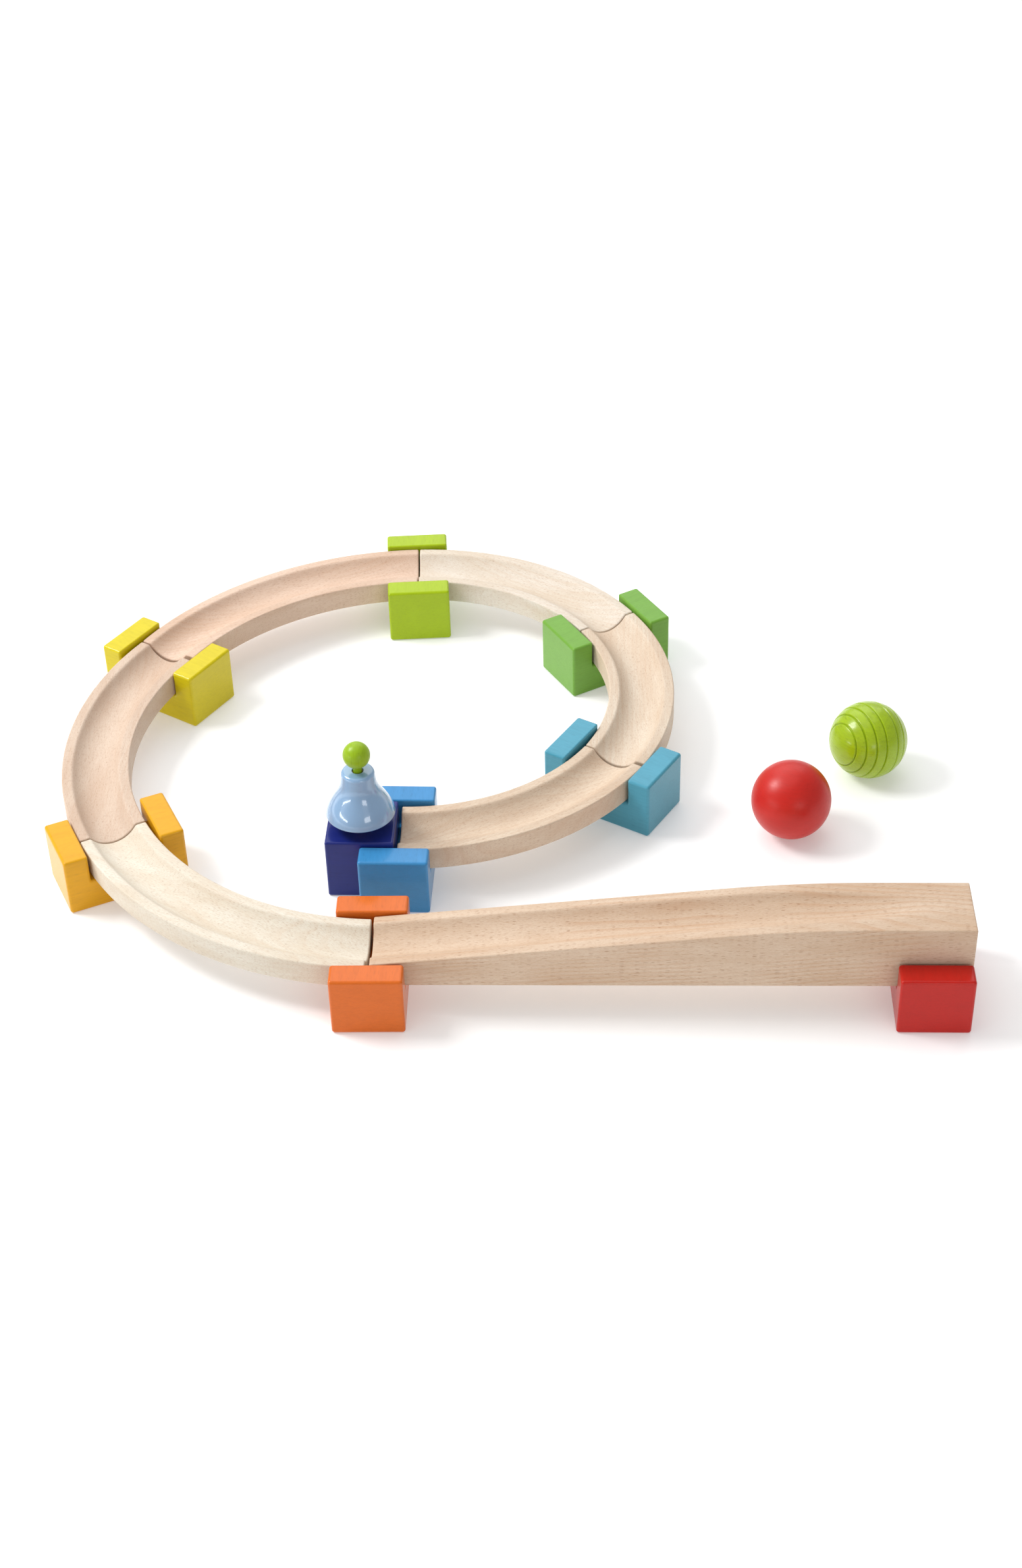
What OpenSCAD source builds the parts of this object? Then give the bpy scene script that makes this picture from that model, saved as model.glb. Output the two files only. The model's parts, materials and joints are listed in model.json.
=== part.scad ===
// Marble run: a starting ramp and a one-turn spiral of grooved beech tracks,
// laid in eight slotted blocks, that ends at a bell. Every piece stands loose.
// Origin: middle of the underside of the orange block. +X runs up the ramp, +Z is up.

/* [Support blocks] */
// Length of a block along the track
block_l = 40.6; // [36:0.2:44]
// Width of a block across the track
block_w = 73; // [70:0.2:76]
// Height of a block
block_h = 37.6; // [36:0.2:40]
// Width of the slot that holds the track
slot_w = 43.7; // [43:0.1:46]
// Height of the slot's floor above the ground
slot_floor = 20; // [18:0.2:22]

/* [Track] */
// Width of every track piece
track_w = 40.5; // [40:0.1:41]
// Thickness of a curved piece
track_t = 15; // [13:0.2:16]
// Centre-line radius of the three outer curves
large_r = 184.4; // [183:0.2:187]
// Centre-line radius of the three inner curves
small_r = 143; // [141:0.2:145]
// Angle that one curved piece turns through
piece_turn = 60; // [58:0.5:60]
// Gap left between the nearest corners of two pieces
joint_gap = 0.8; // [0.5:0.1:1.4]
// Radius of the rolling groove
groove_r = 16; // [15:0.5:20]
// Depth of the groove below the track's top face
groove_depth = 7.7; // [6:0.1:9]

/* [Ramp] */
// Length of the ramp
ramp_l = 327.8; // [310:0.2:340]
// Thickness of the ramp at its low end
ramp_low = 15; // [14.4:0.1:16]
// Thickness of the ramp at its high end
ramp_high = 40.2; // [36:0.2:42]
// Length that the slope takes before the level top
ramp_run = 234; // [220:1:250]
// Radius of the rounding from the slope into the level top
ramp_round = 750; // [300:10:900]

/* [Bell] */
// Edge of the cube that carries the bell
cube_edge = 40; // [38:0.5:40]
// Width of the bell at its rim
bell_rim_w = 40.4; // [38:0.2:42]
// Width of the bell's shoulder
bell_shoulder_w = 19.6; // [19:0.2:22]
// Height of the bell
bell_h = 30.2; // [28:0.2:32]
// Height of the bell's flare, from its rim to its shoulder
bell_flare_h = 22.8; // [20:0.2:24]
// Height of the bell's rim above the cube
bell_lift = 7.6; // [6:0.2:10]
// How far the bell's neck narrows with every millimetre of height
bell_taper = 0.13; // [0:0.01:0.2]
// Thickness of the bell's metal
bell_wall = 1.2; // [0.8:0.1:1.6]
// Width of the hole in the bell's crown
bell_hole = 6.4; // [6.2:0.1:8]
// Width of the peg's stem
stem_w = 5; // [4.6:0.1:5.2]
// Width of the peg's round head
head_w = 15.9; // [14:0.1:17]
// Width of the sleeve that holds the bell up
sleeve_w = 10; // [9:0.2:12]
// Length of the cube's tab, which lies on the floor of the last block's slot
tab_l = 20; // [15:0.1:20]

/* [Balls] */
// Width of both balls
ball_w = 47.6; // [45:0.2:50]
// Number of turned rings on each half of the grooved ball
ring_count = 4; // [2:1:4]
// Depth of each turned ring
ring_depth = 1; // [0.4:0.1:1.2]

/* [Hidden] */
$fn = 96;
// Small overshoot that keeps cuts clean
eps = 0.5;

// Where the spiral begins, and the way it heads there
spiral_start = [-0.7, -1.3];
spiral_heading = 178;
// Each curve's radius, in the order that the ball meets them
curve_r = [large_r, large_r, large_r, small_r, small_r, small_r];
// Extra turn towards the middle that each curve has at its first end
curve_kink = [0, -0.1, -3.9, 0.3, 0.2, 2.8];
// How far the block under each joint is twisted from the track's line
block_twist = [0, -2, -2, 2.2, -0.5, -0.9, 0];
// How far the block under each joint stands past the joint, along the track,
// and how far it is set over towards the middle of the spiral
block_slip = [0, 0, -0.7, -0.6, 0, 0.7, 1.2];
block_inset = [0, 0.3, -0.5, 0.4, 0.2, 0.1, 0];

// Where the ramp's low end lies, and how far the ramp is turned
ramp_start = [1.2, 0.6];
ramp_turn = -0.2;
// Place and turn of the block under the ramp's high end
red_place = [308.6, -0.2];
red_turn = -0.5;

// Places of the two balls that lie on the floor
red_ball_place = [241.7, 139.1];
green_ball_place = [292.8, 198];
// Direction of the grooved ball's turning axis: lean from upright, and bearing
ring_lean = 78.4;
ring_bearing = 211.1;
// Angle from the ball's middle to its first ring on either half, angle from ring to ring,
// and half the width of the cutter's mouth
ring_first = 10.4;
ring_step = 15.5;
ring_cut = 1.1;

function dir(a) = [cos(a), sin(a)];
// Start heading of curve n, after its kink
function heading_in(n) =
    (n == 0 ? spiral_heading : heading_in(n - 1) - piece_turn) - curve_kink[n];
// Middle of the circle that curve n follows
function centre(n) = end_in(n) + curve_r[n] * dir(heading_in(n) - 90);
// Point where curve n begins and where it ends
function end_in(n) = n == 0
    ? spiral_start
    : end_out(n - 1) + end_gap(n) * dir(heading_in(n));
// Gap on the centre line, which a kink makes wider than the gap at the corners
function end_gap(n) = joint_gap + track_w / 2 * abs(sin(curve_kink[n]));
function end_out(n) = centre(n) + curve_r[n] * dir(heading_in(n) + 90 - piece_turn);
// Point in the middle of joint n, and the track's mean heading there
function joint_at(n) = n == 0 ? spiral_start
    : n == 6 ? end_out(5)
    : (end_out(n - 1) + end_in(n)) / 2;
function joint_heading(n) = n == 6
    ? heading_in(5) - piece_turn
    : heading_in(n) + curve_kink[n] / 2;
// The track bows inwards between the ends of a block, which is set over by half of that
function bow(n) = pow(block_l / 2, 2) / (4 * curve_r[min(n, 5)]);
// Middle of the block under joint n
function block_place(n) = joint_at(n)
    + (bow(n) + block_inset[n]) * dir(joint_heading(n) - 90)
    + block_slip[n] * dir(joint_heading(n));

slope = (ramp_high - ramp_low) / ramp_run;
slope_angle = atan(slope);
// Height of the bell's rim and of the underside of its crown
rim_z = cube_edge + bell_lift;
crown_z = rim_z + bell_h - bell_wall;
// Gap above the crown under the peg's head, and the height of the head's middle
head_gap = 2.9;
head_z = rim_z + bell_h + head_gap + head_w / 2;
// Depth of the peg's hole, which stops short of the step under the cube
peg_hole_depth = 18;
// Room round the stem in the sleeve, over the sleeve, and beside the last block
bore_play = 0.2;
rock_play = 0.3;
leg_gap = 0.4;
// Radius of the bell's crown corner
crown_r = 2.4;
// Middle of the bell block, which reaches into the slot of the last block
last_block = block_place(6);
bell_turn = -0.9;
bell_place = last_block + [tab_l - leg_gap - (block_l + cube_edge) / 2, -1.2];

// Outline of a curved track's end: a bar with a round groove in its top
module track_outline(r) {
    difference() {
        translate([r - track_w / 2, 0]) square([track_w, track_t]);
        translate([r, track_t - groove_depth + groove_r]) circle(r = groove_r);
    }
}

module curve(n) {
    c = centre(n);
    translate([c[0], c[1], slot_floor])
        rotate([0, 0, heading_in(n) + 90 - piece_turn])
            rotate_extrude(angle = piece_turn, $fn = 240) track_outline(curve_r[n]);
}

module large_curve(n) {
    color("burlywood") curve(n);
}

module small_curve(n) {
    color("wheat") curve(n);
}

// Side of the ramp: level underside, slope, rounding, level top
function ramp_side() =
    let (
        back = ramp_round * tan(slope_angle / 2),
        steps = 12
    )
    [
        [0, 0],
        [ramp_l, 0],
        [ramp_l, ramp_high],
        for (i = [0 : steps])
            let (a = slope_angle * i / steps)
            [
                ramp_run + back - ramp_round * sin(a),
                ramp_high - ramp_round * (1 - cos(a))
            ],
        [0, ramp_low]
    ];

module ramp() {
    color("tan")
        translate([ramp_start[0], ramp_start[1], slot_floor])
            rotate([0, 0, ramp_turn])
                difference() {
                    translate([0, track_w / 2, 0])
                        rotate([90, 0, 0])
                            linear_extrude(track_w) polygon(ramp_side());
                    translate([0, 0, ramp_low - groove_depth + groove_r])
                        rotate([0, 90 - slope_angle, 0])
                            translate([0, 0, -2 * groove_r])
                                cylinder(r = groove_r, h = ramp_l + 6 * groove_r);
                }
}

// One slotted block, standing on the ground with its slot along X
module block() {
    difference() {
        translate([-block_l / 2, -block_w / 2, 0]) cube([block_l, block_w, block_h]);
        translate([-block_l / 2 - eps, -slot_w / 2, slot_floor])
            cube([block_l + 2 * eps, slot_w, block_h]);
    }
}

// A block under joint n of the spiral
module spiral_block(n) {
    p = block_place(n);
    translate([p[0], p[1], 0]) rotate([0, 0, joint_heading(n) + block_twist[n]]) block();
}

module support_orange() {
    color("darkorange")
        rotate([0, 0, 0.4]) block();
}

module support_red() {
    color("firebrick")
        translate([red_place[0], red_place[1], 0]) rotate([0, 0, red_turn]) block();
}

module support_amber() {
    color("goldenrod") spiral_block(1);
}

module support_yellow() {
    color("yellow") spiral_block(2);
}

module support_lime() {
    color("yellowgreen") spiral_block(3);
}

module support_green() {
    color("forestgreen") spiral_block(4);
}

module support_sky() {
    color("skyblue") spiral_block(5);
}

module support_blue() {
    color("steelblue") spiral_block(6);
}

// Cube whose underside is stepped: its tab lies in the slot, its leg stands on the ground
module bell_block() {
    color("midnightblue")
        translate([bell_place[0], bell_place[1], 0])
            rotate([0, 0, bell_turn])
                difference() {
                    translate([-cube_edge / 2, -cube_edge / 2, 0]) cube(cube_edge);
                    translate([cube_edge / 2 - tab_l, -cube_edge / 2 - eps, -eps])
                        cube([cube_edge, cube_edge + 2 * eps, slot_floor + eps]);
                    translate([0, 0, cube_edge - peg_hole_depth])
                        cylinder(d = stem_w, h = peg_hole_depth + eps);
                }
}

// Sleeve between the cube and the bell's crown, bevelled so that the bell can rock on it
module bell_sleeve() {
    full_h = crown_z - rock_play - cube_edge;
    bevel = 1.2;
    color("tan")
        translate([bell_place[0], bell_place[1], cube_edge])
            difference() {
                union() {
                    cylinder(d = sleeve_w, h = full_h - bevel);
                    translate([0, 0, full_h - bevel])
                        cylinder(d1 = sleeve_w, d2 = stem_w + 2, h = bevel);
                }
                translate([0, 0, -eps])
                    cylinder(d = stem_w + bore_play, h = full_h + 2 * eps);
            }
}

// Radius of the bell's outside at height z above its rim: a tapered neck with a flare
function neck_r(z) = bell_shoulder_w / 2 + bell_taper * (bell_h - crown_r - z);
function flare_r(z) = neck_r(z)
    + (bell_rim_w / 2 - neck_r(0)) * pow(cos(90 * min(1, z / bell_flare_h)), 2);
// Side of the bell: its flare and neck, and a rounded crown corner.
// It is moved in by inset, and ends at height top.
function bell_side(inset, top) =
    let (
        steps = 18,
        corner = crown_r - inset * 0.6
    )
    [
        for (i = [0 : steps])
            let (z = (bell_h - crown_r) * i / steps)
            [flare_r(z) - inset, z - (i == steps ? inset : 0)],
        for (a = [15 : 15 : 90])
            [
                bell_shoulder_w / 2 - inset - corner * (1 - cos(a)),
                top - corner * (1 - sin(a))
            ]
    ];

module bell() {
    color("lightsteelblue")
        translate([bell_place[0], bell_place[1], rim_z])
            rotate_extrude()
                difference() {
                    polygon(concat([[0, 0]], bell_side(0, bell_h), [[0, bell_h]]));
                    translate([0, -eps]) square([bell_rim_w / 2 - bell_wall, 2 * eps]);
                    polygon(concat(
                        [[0, 0]],
                        bell_side(bell_wall, bell_h - bell_wall),
                        [[0, bell_h - bell_wall]]
                    ));
                    translate([0, bell_h / 2]) square([bell_hole / 2, bell_h]);
                }
}

// Peg with a round head: its stem passes the bell and the sleeve into the cube
module bell_peg() {
    foot_z = cube_edge - peg_hole_depth;
    color("yellowgreen")
        translate([bell_place[0], bell_place[1], 0])
            union() {
                translate([0, 0, foot_z]) cylinder(d = stem_w, h = head_z - foot_z);
                translate([0, 0, head_z - head_w / 2 - 0.6])
                    cylinder(d1 = stem_w, d2 = stem_w + 2.2, h = 1.6);
                translate([0, 0, head_z]) sphere(d = head_w);
            }
}

module ball_red() {
    color("crimson")
        translate([red_ball_place[0], red_ball_place[1], ball_w / 2]) sphere(d = ball_w);
}

// Ball with rings turned into both its halves, round one axis
module ball_green() {
    mouth = 2 * ring_depth;
    color("limegreen")
        translate([green_ball_place[0], green_ball_place[1], ball_w / 2])
            rotate([0, ring_lean, ring_bearing])
                difference() {
                    sphere(d = ball_w);
                    for (half = [-1, 1], i = [0 : ring_count - 1])
                        rotate_extrude()
                            rotate([0, 0, half * (ring_first + ring_step * i)])
                                translate([ball_w / 2 - ring_depth, 0])
                                    polygon([[0, 0], [mouth, ring_cut], [mouth, -ring_cut]]);
                }
}

ramp();
large_curve(0);  // curve_large_1
large_curve(1);  // curve_large_2
large_curve(2);  // curve_large_3
small_curve(3);  // curve_small_1
small_curve(4);  // curve_small_2
small_curve(5);  // curve_small_3
support_orange();
support_red();
support_amber();
support_yellow();
support_lime();
support_green();
support_sky();
support_blue();
bell_block();
bell_sleeve();
bell();
bell_peg();
ball_red();
ball_green();
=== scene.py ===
"""Looks of the wooden marble run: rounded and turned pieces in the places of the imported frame."""

import json
import math

import bmesh
import bpy
from mathutils import Matrix, Vector
from mathutils.geometry import convex_hull_2d, intersect_line_line

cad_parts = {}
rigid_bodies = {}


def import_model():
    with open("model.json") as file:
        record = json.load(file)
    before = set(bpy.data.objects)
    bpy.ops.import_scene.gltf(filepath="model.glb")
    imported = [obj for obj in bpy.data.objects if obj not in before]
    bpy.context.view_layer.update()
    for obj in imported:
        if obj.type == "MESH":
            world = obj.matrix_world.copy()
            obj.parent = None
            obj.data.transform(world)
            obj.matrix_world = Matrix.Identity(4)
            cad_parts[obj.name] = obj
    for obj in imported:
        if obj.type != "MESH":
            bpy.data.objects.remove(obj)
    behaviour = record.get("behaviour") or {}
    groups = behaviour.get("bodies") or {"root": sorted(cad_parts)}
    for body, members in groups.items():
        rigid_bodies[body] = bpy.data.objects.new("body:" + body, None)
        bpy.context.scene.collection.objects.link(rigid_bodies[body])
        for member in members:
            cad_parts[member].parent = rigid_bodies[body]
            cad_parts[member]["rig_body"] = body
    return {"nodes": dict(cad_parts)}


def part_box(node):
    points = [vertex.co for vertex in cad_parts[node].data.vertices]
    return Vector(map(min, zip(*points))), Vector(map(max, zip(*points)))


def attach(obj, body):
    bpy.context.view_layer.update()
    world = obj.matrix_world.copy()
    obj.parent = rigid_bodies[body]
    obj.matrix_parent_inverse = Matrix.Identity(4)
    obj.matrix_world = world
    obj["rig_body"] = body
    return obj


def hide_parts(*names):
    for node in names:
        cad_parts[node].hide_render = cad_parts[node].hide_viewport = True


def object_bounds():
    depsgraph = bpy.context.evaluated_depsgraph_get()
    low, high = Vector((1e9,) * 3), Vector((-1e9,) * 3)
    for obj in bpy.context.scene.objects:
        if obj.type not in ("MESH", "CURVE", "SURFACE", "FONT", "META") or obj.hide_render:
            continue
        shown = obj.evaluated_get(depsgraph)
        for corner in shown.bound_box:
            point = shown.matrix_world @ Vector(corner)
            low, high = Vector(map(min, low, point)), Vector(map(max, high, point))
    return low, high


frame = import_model()
cad_lo, cad_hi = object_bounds()
MM = 0.001
TINY = 0.01 * MM            # a distance under this counts as none

# ---------------------------------------------------------------- design sizes
GROOVE_R = 16 * MM          # radius of the rolling groove
GROOVE_DEPTH = 7.7 * MM     # its depth under the track's top
RIM_SOFT = 0.5 * MM         # how softly the groove's rims are broken
TRACK_EDGE = 0.9 * MM       # rounding along the track's edges
BLOCK_EDGE = 1.8 * MM       # rounding of the slotted blocks
SLOT_EDGE = 1.2 * MM        # rounding along the slot's upper edges
SLOT_CORNER = 0.6 * MM      # hollow along the slot's lower corners
SHARP = 0.05 * MM           # least rounding of any edge
CUBE_EDGE = 1.4 * MM        # rounding of the bell cube
CUBE_STEP_EDGE = 0.4 * MM   # hollow along the step under it
END_PULL = 0.96             # share of the side rounding that the two ends of a block have
BELL_WALL = 1.2 * MM
BELL_FLARE_H = 22.8 * MM    # height of the flare, rim to shoulder
BELL_SHOULDER_R = 9.8 * MM
BELL_TAPER = 0.13           # how far its neck narrows with height
BELL_CROWN_R = 2.4 * MM
BELL_HOLE_R = 3.2 * MM
STEM_R = 2.5 * MM
HEAD_R = 7.95 * MM
NECK_H = 3 * MM             # height of the peg's neck, under its head
NECK_FLARE = 1.0 * MM       # how far the neck widens where it meets the head
STEM_TIP = 0.6 * MM         # rounding at the foot of the peg's stem
SLEEVE_BORE_R = 2.6 * MM
SLEEVE_EDGE = 0.5 * MM
SLEEVE_BEVEL = 1.2 * MM     # height of the bevel at the sleeve's top
RING_W = 0.5 * MM           # half the width of a turned ring on the green ball
RING_DEPTH = 1.0 * MM
RING_COUNT = 4              # turned rings on each half of the green ball
RING_FIRST = 10.4           # degrees from its middle to the first ring
RING_STEP = 15.5            # degrees from ring to ring
RING_LEAN = 78.4            # lean of its turning axis from upright
RING_BEARING = 211.1        # bearing of that axis, anticlockwise from +X


# ---------------------------------------------------------------- camera and light
def look(place, aim_turn, dip, roll, lens):
    """A camera at place that looks along +Y turned by aim_turn, dips and rolls (degrees)."""
    cam = bpy.data.objects.new("camera", bpy.data.cameras.new("camera"))
    bpy.context.scene.collection.objects.link(cam)
    turn = Matrix.Rotation(math.radians(aim_turn), 4, "Z")
    tip = Matrix.Rotation(math.radians(90 - dip), 4, "X")
    lean = Matrix.Rotation(math.radians(roll), 4, "Z")
    cam.matrix_world = Matrix.Translation(place) @ turn @ tip @ lean
    cam.data.lens = lens
    cam.data.sensor_width = 36
    cam.data.clip_start, cam.data.clip_end = 0.05, 50
    bpy.context.scene.camera = cam


def soft_box(name, place, aim, width, height, power):
    """A rectangular area light at place, turned to aim."""
    lamp = bpy.data.lights.new(name, "AREA")
    lamp.shape, lamp.size, lamp.size_y, lamp.energy = "RECTANGLE", width, height, power
    o = bpy.data.objects.new(name, lamp)
    o.location = place
    o.rotation_mode = "QUATERNION"
    o.rotation_quaternion = (Vector(aim) - Vector(place)).to_track_quat("-Z", "Y")
    bpy.context.scene.collection.objects.link(o)


# Each light: its name, its place from the middle of what it lights, width, height and power
ROOM_LIGHTS = (
    ("roof", (-0.4, 0.5, 2.2), 2.4, 2.4, 16),
    ("key", (-1.3, 0.2, 1.4), 0.7, 0.7, 27),
    ("back", (0, 1.75, 1.35), 2.4, 1.3, 13),
)
BELL_LIGHTS = (
    ("low_left", (-1.33, -0.87, 0.24), 1.0, 0.09, 3),
    ("low_right", (0.7, -1.36, 0.4), 0.55, 0.24, 1.9),
)
ROOM_GLOW = 0.46


def studio(middle, bell):
    """Soft white room light, a soft key from the left, and two low boxes that glaze the bell."""
    world = bpy.data.worlds.new("studio")
    bpy.context.scene.world = world
    world.use_nodes = True
    glow = world.node_tree.nodes["Background"]
    glow.inputs["Color"].default_value = (1, 1, 1, 1)
    glow.inputs["Strength"].default_value = ROOM_GLOW
    for aim, lights in ((middle, ROOM_LIGHTS), (bell, BELL_LIGHTS)):
        for name, offset, width, height, power in lights:
            soft_box(name, aim + Vector(offset), aim, width, height, power)
    bpy.context.scene.view_settings.view_transform = "Standard"


def floor(under):
    """Plain white paper that glows a little, so that shadows on it stay faint."""
    bm = bmesh.new()
    side = 6
    corners = [bm.verts.new((x, y, under)) for x, y in
               ((-side, -side), (side, -side), (side, side), (-side, side))]
    bm.faces.new(corners)
    mesh = bpy.data.meshes.new("floor")
    bm.to_mesh(mesh)
    bm.free()
    o = bpy.data.objects.new("floor", mesh)
    bpy.context.scene.collection.objects.link(o)
    m, nt, shader = material("floor_paper")
    grain = noise(nt, coords(nt), 90, 3, 0.5)
    link(nt, mix(nt, grain, (0.8, 0.8, 0.8), (0.83, 0.83, 0.83)), shader, "Base Color")
    shader.inputs["Emission Color"].default_value = (1, 1, 1, 1)
    shader.inputs["Emission Strength"].default_value = 0.25
    shader.inputs["Roughness"].default_value = 0.9
    mesh.materials.append(m)


# ---------------------------------------------------------------- shader helpers
def srgb(r, g, b):
    """An 8-bit screen colour as a linear one."""
    def lin(c):
        c /= 255
        return c / 12.92 if c <= 0.04045 else ((c + 0.055) / 1.055) ** 2.4
    return lin(r), lin(g), lin(b)


def material(name):
    """A new material, its node tree and its shader."""
    m = bpy.data.materials.new(name)
    m.use_nodes = True
    return m, m.node_tree, m.node_tree.nodes["Principled BSDF"]


def link(nt, out, node, socket):
    nt.links.new(out, node.inputs[socket])


def coords(nt):
    return nt.nodes.new("ShaderNodeTexCoord").outputs["Object"]


def mapped(nt, vector, shift=(0, 0, 0), turn=(0, 0, 0), scale=(1, 1, 1)):
    """The vector scaled, then turned (degrees), then shifted."""
    n = nt.nodes.new("ShaderNodeMapping")
    link(nt, vector, n, "Vector")
    n.inputs["Location"].default_value = shift
    n.inputs["Rotation"].default_value = [math.radians(a) for a in turn]
    n.inputs["Scale"].default_value = scale
    return n.outputs["Vector"]


def noise(nt, vector, scale, detail, rough):
    n = nt.nodes.new("ShaderNodeTexNoise")
    link(nt, vector, n, "Vector")
    n.inputs["Scale"].default_value = scale
    n.inputs["Detail"].default_value = detail
    n.inputs["Roughness"].default_value = rough
    return n.outputs["Fac"]


def calc(nt, op, a, b=0.0):
    """A Math node; a and b are numbers or sockets."""
    n = nt.nodes.new("ShaderNodeMath")
    n.operation = op
    for i, v in enumerate((a, b)):
        if isinstance(v, (int, float)):
            n.inputs[i].default_value = v
        else:
            nt.links.new(v, n.inputs[i])
    return n.outputs[0]


def fade(nt, value, low, high, out_low=0.0, out_high=1.0):
    """Value eased from out_low at low to out_high at high."""
    n = nt.nodes.new("ShaderNodeMapRange")
    n.interpolation_type = "SMOOTHSTEP"
    link(nt, value, n, "Value")
    for key, v in (("From Min", low), ("From Max", high), ("To Min", out_low), ("To Max", out_high)):
        n.inputs[key].default_value = v
    return n.outputs["Result"]


def mix(nt, factor, a, b):
    """Colour a turned into b by factor; each is a value or a socket."""
    n = nt.nodes.new("ShaderNodeMix")
    n.data_type = "RGBA"
    n.clamp_factor = True
    for socket, v in ((n.inputs[0], factor), (n.inputs[6], a), (n.inputs[7], b)):
        if isinstance(v, tuple):
            socket.default_value = (*v, 1)
        elif isinstance(v, (int, float)):
            socket.default_value = v
        else:
            nt.links.new(v, socket)
    return n.outputs[2]


def toned(colour, *factors):
    """The colour times one factor for all its channels, or one for each."""
    return tuple(c * k for c, k in zip(colour, factors * (3 // len(factors))))


def bump(nt, height, shader, depth, strength):
    n = nt.nodes.new("ShaderNodeBump")
    link(nt, height, n, "Height")
    n.inputs["Distance"].default_value = depth
    n.inputs["Strength"].default_value = strength
    link(nt, n.outputs["Normal"], shader, "Normal")


# ---------------------------------------------------------------- materials
def grain_space(nt, turn, seed):
    """Object space in millimetres with the board's length along x."""
    return mapped(nt, mapped(nt, coords(nt), turn=turn), (seed * 37.1, seed * 11.3, seed * 5.7),
                  scale=(1000, 1000, 1000))


def flecks(nt, board, length, width, cover):
    """Short dark rays along the grain: cells stretched along x, with a random strength each."""
    n = nt.nodes.new("ShaderNodeTexVoronoi")
    link(nt, mapped(nt, board, scale=(1 / length, 1 / width, 1 / width)), n, "Vector")
    n.inputs["Scale"].default_value = 1
    dash = fade(nt, n.outputs["Distance"], 0.26, 0.4, 1, 0)
    parts = nt.nodes.new("ShaderNodeSeparateColor")
    link(nt, n.outputs["Color"], parts, "Color")
    return calc(nt, "MULTIPLY", dash, fade(nt, parts.outputs["Red"], 1 - cover, 1, 0.08, 1))


RING_PITCH = 3.1            # millimetres from one growth ring to the next
RING_WOBBLE = 14            # how far, in millimetres, the rings wander
PITH = (0, 6, -70)          # where the pith line lies from the board's middle, in millimetres
PITH_LEAN = (0, 5, 3)       # its lean from the board's length, in degrees


def growth_rings(nt, board):
    """Growth rings round a pith line that leans a little off x, so they meet the face in fans."""
    drift = noise(nt, mapped(nt, board, scale=(0.006, 0.03, 0.03)), 1, 2, 0.5)
    at = mapped(nt, mapped(nt, board, turn=PITH_LEAN), PITH, scale=(0, 1, 1))
    n = nt.nodes.new("ShaderNodeVectorMath")
    n.operation = "LENGTH"
    link(nt, at, n, 0)
    reach = calc(nt, "ADD", n.outputs["Value"], calc(nt, "MULTIPLY", drift, RING_WOBBLE))
    saw = calc(nt, "FRACT", calc(nt, "DIVIDE", reach, RING_PITCH))
    return calc(nt, "MULTIPLY", fade(nt, saw, 0.35, 0.9), fade(nt, saw, 0.9, 1, 1, 0))


def beech(name, light, dark, turn, seed, fleck=(3.4, 0.75), fleck_dark=0.5, rings=0.3):
    """Bare sanded beech: pale ground, faint rings, fine fibres, pores and short dark rays.
    fleck is a ray's length and width in millimetres; fleck_dark and rings are strengths."""
    m, nt, shader = material(name)
    board = grain_space(nt, turn, seed)
    cloud = noise(nt, mapped(nt, board, scale=(0.012, 0.06, 0.06)), 1, 3, 0.55)
    patch = noise(nt, mapped(nt, board, scale=(0.011, 0.02, 0.02)), 1, 2, 0.5)
    fibre = noise(nt, mapped(nt, board, scale=(0.1, 1.9, 1.9)), 1, 4, 0.7)
    pores = noise(nt, mapped(nt, board, scale=(0.5, 3.2, 3.2)), 1, 3, 0.7)
    circle = growth_rings(nt, board)
    rays = flecks(nt, board, *fleck, 0.5)
    ground = mix(nt, fade(nt, cloud, 0.3, 0.72), light, dark)
    shade = calc(nt, "MULTIPLY", calc(nt, "MULTIPLY", circle, rings), fade(nt, patch, 0.38, 0.6))
    ground = mix(nt, shade, ground, toned(dark, 0.88, 0.64, 0.46))
    ground = mix(nt, fade(nt, fibre, 0.4, 0.64, 0, 0.22), ground, toned(dark, 0.88, 0.76, 0.66))
    ground = mix(nt, fade(nt, pores, 0.48, 0.7, 0, 0.55), ground, toned(dark, 0.8, 0.66, 0.55))
    strength = calc(nt, "MULTIPLY", rays, fleck_dark)
    colour = mix(nt, strength, ground, toned(dark, 0.55, 0.36, 0.26))
    link(nt, colour, shader, "Base Color")
    link(nt, fade(nt, fibre, 0.3, 0.7, 0.5, 0.62), shader, "Roughness")
    shader.inputs["Specular IOR Level"].default_value = 0.3
    relief = calc(nt, "SUBTRACT", calc(nt, "MULTIPLY", fibre, 0.6), rays)
    bump(nt, relief, shader, 0.00006, 0.8)
    return m


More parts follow.
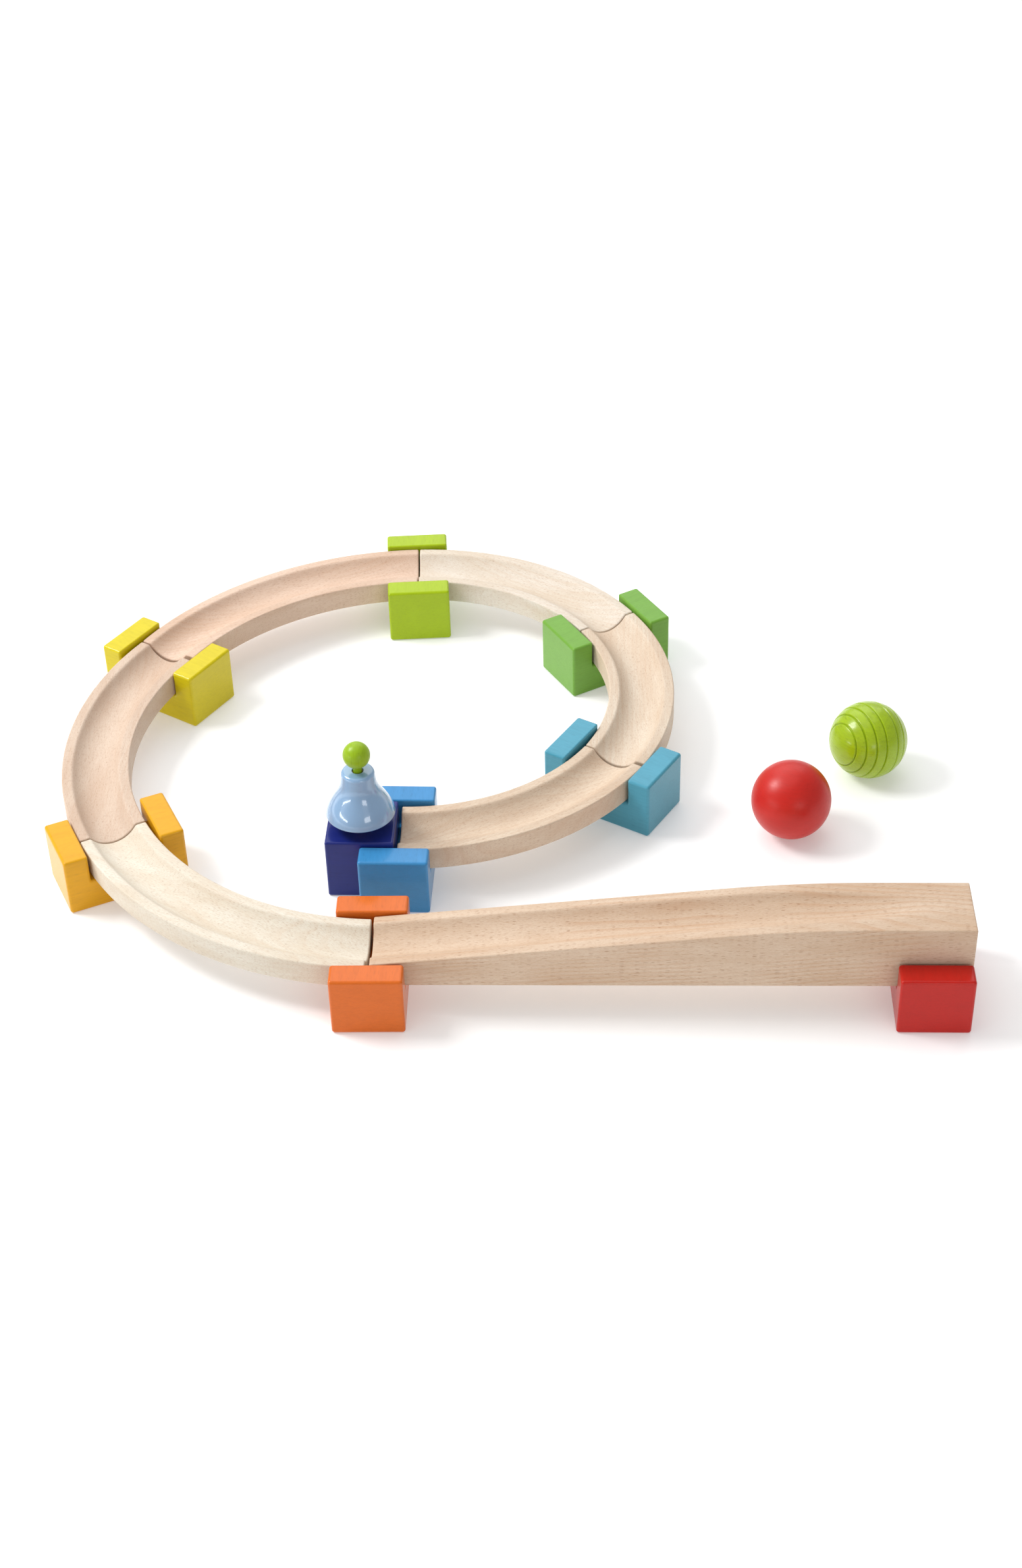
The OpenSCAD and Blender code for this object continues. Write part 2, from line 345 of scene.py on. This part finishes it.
def lacquer(name, colour, turn, seed, gloss=0.3, grain=0.36, coat=0.4, sheen=0.12):
    """Stained wood under clear lacquer: faint streaks along the grain show through the colour.
    gloss is the stain's roughness, coat the lacquer's weight and grain the streaks' strength."""
    m, nt, shader = material(name)
    board = grain_space(nt, turn, seed)
    streak = noise(nt, mapped(nt, board, scale=(0.05, 0.3, 1.3)), 1, 4, 0.6)
    fibre = noise(nt, mapped(nt, board, scale=(0.16, 0.9, 3)), 1, 3, 0.65)
    cloud = noise(nt, mapped(nt, board, scale=(0.03, 0.1, 0.1)), 1, 2, 0.5)
    rays = flecks(nt, board, 5, 1.2, 0.5)
    deep = toned(colour, 0.62)
    base = mix(nt, fade(nt, cloud, 0.3, 0.7, 0, 0.24 * grain), colour, deep)
    base = mix(nt, fade(nt, streak, 0.42, 0.66, 0, 0.42 * grain), base, deep)
    base = mix(nt, fade(nt, fibre, 0.42, 0.7, 0, 0.4 * grain), base, deep)
    base = mix(nt, calc(nt, "MULTIPLY", rays, 0.4 * grain), base, toned(colour, 0.45))
    link(nt, base, shader, "Base Color")
    link(nt, fade(nt, fibre, 0.3, 0.7, gloss, gloss + 0.1), shader, "Roughness")
    shader.inputs["Specular IOR Level"].default_value = sheen
    shader.inputs["Coat Weight"].default_value = coat
    shader.inputs["Coat Roughness"].default_value = 0.12
    sag = noise(nt, mapped(nt, board, scale=(0.12, 0.16, 0.16)), 1, 2, 0.4)
    relief = calc(nt, "ADD", calc(nt, "MULTIPLY", fibre, 0.2), sag)
    bump(nt, relief, shader, 0.00009, 0.6)
    return m


def enamel(name, colour):
    """Thick glossy enamel on metal, with the slight waviness of a dipped coat."""
    m, nt, shader = material(name)
    space = mapped(nt, coords(nt), scale=(1000, 1000, 1000))
    cloud = noise(nt, space, 0.09, 3, 0.5)
    speck = noise(nt, space, 2.4, 2, 0.6)
    base = mix(nt, fade(nt, cloud, 0.3, 0.7, 0, 0.35), colour, toned(colour, 0.88))
    base = mix(nt, fade(nt, speck, 0.68, 0.8, 0, 0.25), base, toned(colour, 1.25))
    link(nt, base, shader, "Base Color")
    link(nt, fade(nt, cloud, 0.3, 0.7, 0.16, 0.22), shader, "Roughness")
    shader.inputs["Coat Weight"].default_value = 1
    shader.inputs["Coat Roughness"].default_value = 0.03
    bump(nt, cloud, shader, 0.0002, 0.3)
    return m


# ---------------------------------------------------------------- shape helpers
def piece(name, verts, faces, node, looks):
    """A mesh that stands for a CAD node, rides on its body and hides the node."""
    mesh = bpy.data.meshes.new(name)
    mesh.from_pydata([tuple(v) for v in verts], [], faces)
    mesh.validate()
    bm = bmesh.new()
    bm.from_mesh(mesh)
    bmesh.ops.remove_doubles(bm, verts=bm.verts, dist=1e-7)
    bmesh.ops.recalc_face_normals(bm, faces=bm.faces)
    bm.to_mesh(mesh)
    bm.free()
    mesh.shade_smooth()
    mesh.materials.append(looks)
    o = bpy.data.objects.new(name, mesh)
    bpy.context.scene.collection.objects.link(o)
    keep = o.modifiers.new("even_normals", "WEIGHTED_NORMAL")
    keep.weight = 50
    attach(o, frame["nodes"][node]["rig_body"])
    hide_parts(node)
    return o


def rounded(corners):
    """A closed outline through corners (a, b, radius), with an arc at each of them."""
    points, steps = [], 6
    for i, (a, b, r) in enumerate(corners):
        p = Vector((a, b))
        before, after = Vector(corners[i - 1][:2]), Vector(corners[(i + 1) % len(corners)][:2])
        d1, d2 = (before - p).normalized(), (after - p).normalized()
        half = d1.angle(d2) / 2
        centre = p + (d1 + d2).normalized() * (r / math.sin(half))
        first, last = p + d1 * (r / math.tan(half)) - centre, p + d2 * (r / math.tan(half)) - centre
        a0, a1 = math.atan2(first.y, first.x), math.atan2(last.y, last.x)
        sweep = (a1 - a0 + math.pi) % (2 * math.pi) - math.pi
        for k in range(steps + 1):
            t = a0 + sweep * k / steps
            points.append(centre + Vector((math.cos(t), math.sin(t))) * r)
    return points


def drawn_in(outline, inset):
    """The outline moved into its solid, which lies on its left."""
    out = []
    n = len(outline)
    for i, p in enumerate(outline):
        t = outline[(i + 1) % n] - outline[i - 1]
        out.append(p - Vector((t.y, -t.x)).normalized() * inset)
    return out


def swept(name, node, looks, outline_at, place, length, stations, edge, ends=None):
    """A bar of the given length along s. outline_at(s, inset) is its section, place(s, a, b) puts
    a point of it in the frame, and both ends are rounded by edge. ends is the material of the two
    end faces, darkened past the wood's own tone with painted shade for the joints."""
    steps = 5
    turns = [math.pi / 2 * k / steps for k in range(steps + 1)]
    rings = [(edge * (1 - math.cos(t)), edge * (1 - math.sin(t))) for t in turns]
    inner = [edge + (length - 2 * edge) * k / stations for k in range(1, stations)]
    rings += [(s, 0) for s in inner]
    rings += [(length - edge * (1 - math.cos(t)), edge * (1 - math.sin(t))) for t in reversed(turns)]
    verts, faces = [], []
    for s, inset in rings:
        verts += [place(s, p.x, p.y) for p in outline_at(s, inset)]
    n = len(verts) // len(rings)
    for k in range(len(rings) - 1):
        for i in range(n):
            j = (i + 1) % n
            faces.append((k * n + i, k * n + j, (k + 1) * n + j, (k + 1) * n + i))
    faces.append(tuple(range(n)))
    faces.append(tuple(len(verts) - n + i for i in reversed(range(n))))
    o = piece(name, verts, faces, node, looks)
    # The two end faces take the ends material, which carries painted shade for the joints.
    if ends:
        o.data.materials.append(ends)
        for face in o.data.polygons:
            face.material_index = int(len(face.vertices) == n)
    return o


def lathe(name, node, looks, outline, axis, sides=128):
    """A closed solid of revolution. outline holds (radius, height) along the given axis matrix."""
    verts, faces, rows = [], [], []
    for r, h in outline:
        if r < TINY:
            rows.append([len(verts)])
            verts.append(axis @ Vector((0, 0, h)))
        else:
            rows.append(list(range(len(verts), len(verts) + sides)))
            verts += [axis @ Vector((r * math.cos(a), r * math.sin(a), h))
                      for a in (2 * math.pi * i / sides for i in range(sides))]
    closed = len(rows[0]) > 1
    pairs = zip(rows, rows[1:] + rows[:1]) if closed else zip(rows, rows[1:])
    for low, high in pairs:
        for i in range(sides):
            j = (i + 1) % sides
            ring = [low[i % len(low)], low[j % len(low)], high[j % len(high)], high[i % len(high)]]
            faces.append(tuple(dict.fromkeys(ring)))
    piece(name, verts, faces, node, looks)


def arc_points(centre, radius, start, stop, steps):
    """Points (radius, height) round centre from start to stop, in degrees."""
    return [(centre[0] + radius * math.cos(math.radians(a)),
             centre[1] + radius * math.sin(math.radians(a)))
            for a in (start + (stop - start) * k / steps for k in range(steps + 1))]


# ---------------------------------------------------------------- track pieces
def soft_min(a, b):
    """The lower of two heights, eased where they cross."""
    k = RIM_SOFT
    low = min(a, b)
    return low - k * math.log(math.exp((low - a) / k) + math.exp((low - b) / k))


def track_section(width, top, groove_centre):
    """Section of a track: a bar whose top dips into a round groove."""
    half, r, spread = width / 2, TRACK_EDGE, 56

    def height(a):
        dip = groove_centre - math.sqrt(max(GROOVE_R ** 2 - a * a, 0))
        return soft_min(top, dip)

    body = rounded([(-half, 0, r), (half, 0, r), (half, top, r), (-half, top, r)])
    corner = len(body) // 4
    flat = half - r
    across = [Vector((a, height(a))) for a in
              (flat - 2 * flat * k / spread for k in range(1, spread))]
    return body[:3 * corner] + across + body[3 * corner:]


def plan_corners(node, low):
    """Corners in plan of a CAD node's underside, in order."""
    flat = {(round(v.co.x, 6), round(v.co.y, 6))
            for v in frame["nodes"][node].data.vertices if v.co.z < low + TINY}
    flat = [Vector(p) for p in sorted(flat)]
    return [flat[i] for i in convex_hull_2d(flat)]


def crossing(a, b, c, d):
    """Where the line through a and b meets the line through c and d."""
    hit = intersect_line_line(*(p.to_3d() for p in (a, b, c, d)))
    return hit[0].xy


def curve_piece(node, looks, ends):
    """A curved track, on the circle that its CAD node follows."""
    lo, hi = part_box(node)
    hull = plan_corners(node, lo.z)
    n = len(hull)
    k = max(range(n), key=lambda i: (hull[i] - hull[(i + 1) % n]).length)
    a, b = hull[k], hull[(k + 1) % n]
    centre = crossing(a, hull[k - 1], b, hull[(k + 2) % n])
    reach = [(v.co.xy - centre).length for v in frame["nodes"][node].data.vertices]
    middle, width = (max(reach) + min(reach)) / 2, max(reach) - min(reach)
    a0 = math.atan2(*(a - centre).yx)
    sweep = (math.atan2(*(b - centre).yx) - a0 + math.pi) % (2 * math.pi) - math.pi
    side = 1 if sweep > 0 else -1
    thick = hi.z - lo.z
    section = track_section(width, thick, thick - GROOVE_DEPTH + GROOVE_R)

    def place(s, across, up):
        t = a0 + side * s / middle
        r = middle - side * across
        return centre.x + r * math.cos(t), centre.y + r * math.sin(t), lo.z + up

    swept(node + "_body", node, looks, lambda s, inset: drawn_in(section, inset), place,
          middle * abs(sweep), 72, TRACK_EDGE, ends=ends)


def straight_frame(node):
    """Start, direction, length and width of a bar that lies on the plane of its underside."""
    lo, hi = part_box(node)
    hull = plan_corners(node, lo.z)
    edges = sorted(((hull[i] - hull[i - 1]) for i in range(len(hull))), key=lambda e: e.length)
    length, width = edges[-1].length, edges[0].length
    along = edges[-1].normalized()
    if along.x < 0:
        along = -along
    middle = sum(hull, Vector((0, 0))) / len(hull)
    return middle - along * length / 2, along, length, width


def ramp_piece(node, looks, ends):
    """The ramp: its top follows the CAD side, its groove runs straight and out at the top."""
    lo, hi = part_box(node)
    start, along, length, width = straight_frame(node)
    across = Vector((-along.y, along.x))
    side = set()
    for v in frame["nodes"][node].data.vertices:
        q = v.co.xy - start
        if v.co.z > lo.z + MM and abs(abs(q.dot(across)) - width / 2) < 5e-5:
            side.add((round(q.dot(along), 5), round(v.co.z - lo.z, 5)))
    line = sorted(side)
    slope = (line[1][1] - line[0][1]) / (line[1][0] - line[0][0])

    def top(s):
        s = min(max(s, line[0][0]), line[-1][0])
        for (s0, z0), (s1, z1) in zip(line, line[1:]):
            if s <= s1:
                return z0 + (z1 - z0) * (s - s0) / max(s1 - s0, 1e-9)
        return line[-1][1]

    def outline(s, inset):
        centre = line[0][1] - GROOVE_DEPTH + GROOVE_R + slope * s
        return drawn_in(track_section(width, top(s), centre), inset)

    def place(s, a, up):
        p = start + along * s - across * a
        return p.x, p.y, lo.z + up

    swept("ramp_body", node, looks, outline, place, length, 110, TRACK_EDGE, ends=ends)


# ---------------------------------------------------------------- blocks
def block_piece(node, looks):
    """A slotted block with softly rounded edges."""
    lo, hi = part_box(node)
    mesh = frame["nodes"][node].data
    hull = plan_corners(node, lo.z)
    middle = sum(hull, Vector((0, 0))) / len(hull)
    short = min(((hull[i] - hull[i - 1]) for i in range(len(hull))), key=lambda e: e.length)
    along, length = short.normalized(), short.length
    across = Vector((-along.y, along.x))
    half = max((v.co.xy - middle).dot(across) for v in mesh.vertices)
    inner = [v.co for v in mesh.vertices if lo.z + MM < v.co.z < hi.z - MM]
    slot_floor = inner[0].z - lo.z
    slot = max((c.xy - middle).dot(across) for c in inner)
    top = hi.z - lo.z

    def section(s, i):
        outer, mouth = max(BLOCK_EDGE - i, SHARP), max(SLOT_EDGE - i, SHARP)
        inside = SLOT_CORNER + i
        return rounded([
            (i - half, i, outer), (half - i, i, outer),
            (half - i, top - i, outer), (slot + i, top - i, mouth),
            (slot + i, slot_floor - i, inside), (-slot - i, slot_floor - i, inside),
            (-slot - i, top - i, mouth), (i - half, top - i, outer),
        ])

    def place(s, a, up):
        p = middle + along * (s - length / 2) - across * a
        return p.x, p.y, lo.z + up

    swept(node + "_body", node, looks, section, place, length, 12, BLOCK_EDGE * END_PULL)


def bell_cube(node, looks):
    """The cube under the bell, with the step on its underside."""
    lo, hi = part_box(node)
    mesh = frame["nodes"][node].data
    flat = sorted({(round(v.co.x, 6), round(v.co.y, 6))
                   for v in mesh.vertices if abs(v.co.z - hi.z) < TINY})
    hull = [Vector(flat[i]) for i in convex_hull_2d([Vector(p) for p in flat])]
    edges = [hull[i] - hull[i - 1] for i in range(len(hull))]
    along = max(edges, key=lambda e: abs(e.normalized().x)).normalized()
    if along.x < 0:
        along = -along
    across = Vector((-along.y, along.x))
    middle = sum(hull, Vector((0, 0))) / len(hull)
    half = max((h - middle).dot(along) for h in hull)
    step = [v.co for v in mesh.vertices if lo.z + 15 * MM < v.co.z < hi.z - 18 * MM
            and abs(abs((v.co.xy - middle).dot(across)) - half) < 1e-4]
    step_z = min(c.z for c in step) - lo.z
    step_x = min((c.xy - middle).dot(along) for c in step)
    top, r = hi.z - lo.z, CUBE_EDGE
    section = rounded([
        (-half, 0, r), (step_x, 0, r), (step_x, step_z, CUBE_STEP_EDGE), (half, step_z, r),
        (half, top, r), (-half, top, r),
    ])

    def place(s, a, up):
        p = middle + across * (s - half) + along * a
        return p.x, p.y, lo.z + up

    swept("bell_cube_body", node, looks, lambda s, inset: drawn_in(section, inset), place,
          2 * half, 12, r * END_PULL)


# ---------------------------------------------------------------- bell
def upright(node):
    """Axis matrix of a turned piece, from the middle of its underside, its height and its radius."""
    lo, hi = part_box(node)
    foot = ((lo.x + hi.x) / 2, (lo.y + hi.y) / 2, lo.z)
    return Matrix.Translation(foot), hi.z - lo.z, (hi.x - lo.x) / 2


def bell_piece(node, looks):
    """The bell: a tapered neck that eases out into the flare, hollow, with a rolled lip."""
    axis, height, rim_r = upright(node)
    wall = BELL_WALL
    side_h = height - BELL_CROWN_R

    def neck(z):
        return BELL_SHOULDER_R + BELL_TAPER * (side_h - z)

    def flare(z):
        return neck(z) + (rim_r - neck(0)) * math.cos(math.pi / 2 * min(z / BELL_FLARE_H, 1)) ** 2

    def shell(inset, top, corner):
        low = top - corner
        side = [(flare(low * k / 48) - inset, low * k / 48) for k in range(2, 48)]
        return side + arc_points((BELL_SHOULDER_R - inset - corner, low), corner, 4, 90, 12)

    outside = shell(0, height, BELL_CROWN_R)
    inside = shell(wall, height - wall, BELL_CROWN_R - 0.7 * MM)
    lip = arc_points((rim_r - wall / 2, wall / 2), wall / 2, 20, -200, 12)
    hole = arc_points((BELL_HOLE_R + wall / 2, height - wall / 2), wall / 2, 90, 270, 10)
    lathe("bell_shell", node, looks, lip[::-1] + outside + hole + inside[::-1], axis, 192)


def peg_piece(node, looks):
    """Round head on a short neck that flares up into it, and a straight stem."""
    axis, height, _ = upright(node)
    middle = height - HEAD_R
    meet = math.degrees(math.asin((STEM_R + NECK_FLARE) / HEAD_R))
    meet_z = middle - HEAD_R * math.cos(math.radians(meet))
    outline = [(0, 0)] + arc_points((STEM_R - STEM_TIP, STEM_TIP), STEM_TIP, -90, 0, 5)
    for k in range(13):
        t = k / 12
        outline.append((STEM_R + NECK_FLARE * t ** 3, meet_z - NECK_H * (1 - t)))
    outline += arc_points((0, middle), HEAD_R, meet - 90, 90, 44)[1:-1] + [(0, height)]
    lathe("peg_turned", node, looks, outline, axis, 96)


def sleeve_piece(node, looks):
    """A bored sleeve with a bevelled top, hidden in the bell."""
    axis, height, r = upright(node)
    soft = SLEEVE_EDGE
    outline = [(SLEEVE_BORE_R, 0)] + arc_points((r - soft, soft), soft, -90, 0, 5)
    outline += [(r, height - SLEEVE_BEVEL), (STEM_R + MM, height), (SLEEVE_BORE_R, height)]
    lathe("sleeve_turned", node, looks, outline, axis, 64)


# ---------------------------------------------------------------- balls
# Section of a turned ring: place across it in half widths, and depth as a share
RING_SECTION = ((-2, 0), (-1.4, 0.03), (-1, 0.18), (-0.4, 0.85), (0, 1),
                (0.4, 0.85), (1, 0.18), (1.4, 0.03), (2, 0))
POLE_SINK = 0.06 * MM       # how far the ends of a ball's turning axis are flattened


def ball_piece(node, looks, axis_turn, rings=()):
    """A turned ball. rings are the polar angles of narrow grooves cut round its axis."""
    lo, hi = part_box(node)
    r = (hi.z - lo.z) / 2
    axis = Matrix.Translation((lo + hi) / 2) @ axis_turn
    wide = RING_W / r
    marks = {0.0: r - POLE_SINK, math.pi: r - POLE_SINK}
    steps = 220
    for k in range(1, steps):
        t = math.pi * k / steps
        if all(abs(t - g) > wide * 2.2 for g in rings):
            marks[t] = r
    for g in rings:
        for t, sink in RING_SECTION:
            marks[g + t * wide] = r - RING_DEPTH * sink
    outline = [(h * math.sin(t), -h * math.cos(t)) for t, h in sorted(marks.items())]
    outline[0], outline[-1] = (0, outline[0][1]), (0, outline[-1][1])
    lathe(node + "_turned", node, looks, outline, axis, 160)


middle = (cad_lo + cad_hi) / 2
look(place=(0.1227, -0.9935, 0.9189), aim_turn=2.42, dip=37.909, roll=-1.664, lens=55.44)
bell_lo, bell_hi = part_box("bell")
studio(middle, (bell_lo + bell_hi) / 2)
floor(cad_lo.z)

# End grain: the wood's own darker end tone, deepened further with painted shade so that the joints
# between pieces show as dark gaps.
end_grain_and_gap_shade = beech("beech_ends_gap_shade", srgb(98, 72, 52), srgb(78, 54, 38), (0, 90, 0), 30,
                  fleck=(1.2, 0.5), fleck_dark=0.6, rings=0.2)
ramp_looks = beech("beech_ramp", srgb(218, 196, 173), srgb(204, 177, 151), (0, 0, 0), 1,
                   fleck=(4.2, 0.5), fleck_dark=0.52, rings=0.36)
ramp_piece("ramp", ramp_looks, end_grain_and_gap_shade)

# Light tone, dark tone and the way that each board's length runs in plan
CURVES = {
    "curve_large_1": ((226, 220, 206), (215, 203, 184), -28),
    "curve_large_2": ((210, 191, 173), (199, 175, 155), 90),
    "curve_large_3": ((221, 197, 178), (207, 179, 157), 26),
    "curve_small_1": ((224, 216, 204), (214, 201, 183), -28),
    "curve_small_2": ((221, 208, 190), (208, 188, 166), -88),
    "curve_small_3": ((220, 203, 182), (206, 183, 160), 30),
}
for i, (node, (light, dark, bearing)) in enumerate(CURVES.items()):
    looks = beech("beech_" + node, srgb(*light), srgb(*dark), (0, 0, -bearing), 2 + i,
                  fleck=(2.7, 0.42), fleck_dark=0.4, rings=0.16)
    curve_piece(node, looks, end_grain_and_gap_shade)

# Stain colour, and the way that the grain runs in plan
BLOCKS = {
    "support_orange": ((218, 106, 30), 90),
    "support_red": ((192, 28, 18), 90),
    "support_amber": ((224, 162, 12), 26),
    "support_yellow": ((210, 192, 2), -33),
    "support_lime": ((164, 190, 6), 90),
    "support_green": ((114, 166, 60), 32),
    "support_sky": ((80, 158, 182), -30),
    "support_blue": ((62, 140, 197), 90),
}
for i, (node, (colour, bearing)) in enumerate(BLOCKS.items()):
    block_piece(node, lacquer("stain_" + node, srgb(*colour), (0, 0, -bearing), 11 + i))

bell_cube("bell_block", lacquer("stain_cube", srgb(30, 42, 122), (0, 0, 0), 21))
sleeve_looks = beech("beech_sleeve", srgb(206, 184, 160), srgb(192, 166, 138), (0, 90, 0), 23)
sleeve_piece("bell_sleeve", sleeve_looks)
bell_piece("bell", enamel("bell_enamel", srgb(137, 172, 208)))
peg_looks = lacquer("stain_peg", srgb(148, 182, 18), (0, 90, 0), 24,
                    gloss=0.34, grain=0.5, coat=0.1, sheen=0.3)
peg_piece("bell_peg", peg_looks)

red_looks = lacquer("stain_ball_red", srgb(198, 30, 18), (0, 0, 30), 25,
                    gloss=0.32, grain=0.3, coat=0, sheen=0.4)
ball_piece("ball_red", red_looks, Matrix.Rotation(math.radians(60), 4, "X"))

green_looks = lacquer("stain_ball_green", srgb(162, 192, 20), (0, 0, 60), 26,
                      gloss=0.24, grain=0.7, coat=0.3, sheen=0.3)
bearing = Matrix.Rotation(math.radians(RING_BEARING), 4, "Z")
lean = Matrix.Rotation(math.radians(RING_LEAN), 4, "Y")
rings = [math.radians(90 + side * (RING_FIRST + RING_STEP * k))
         for side in (-1, 1) for k in range(RING_COUNT)]
ball_piece("ball_green", green_looks, bearing @ lean, sorted(rings))
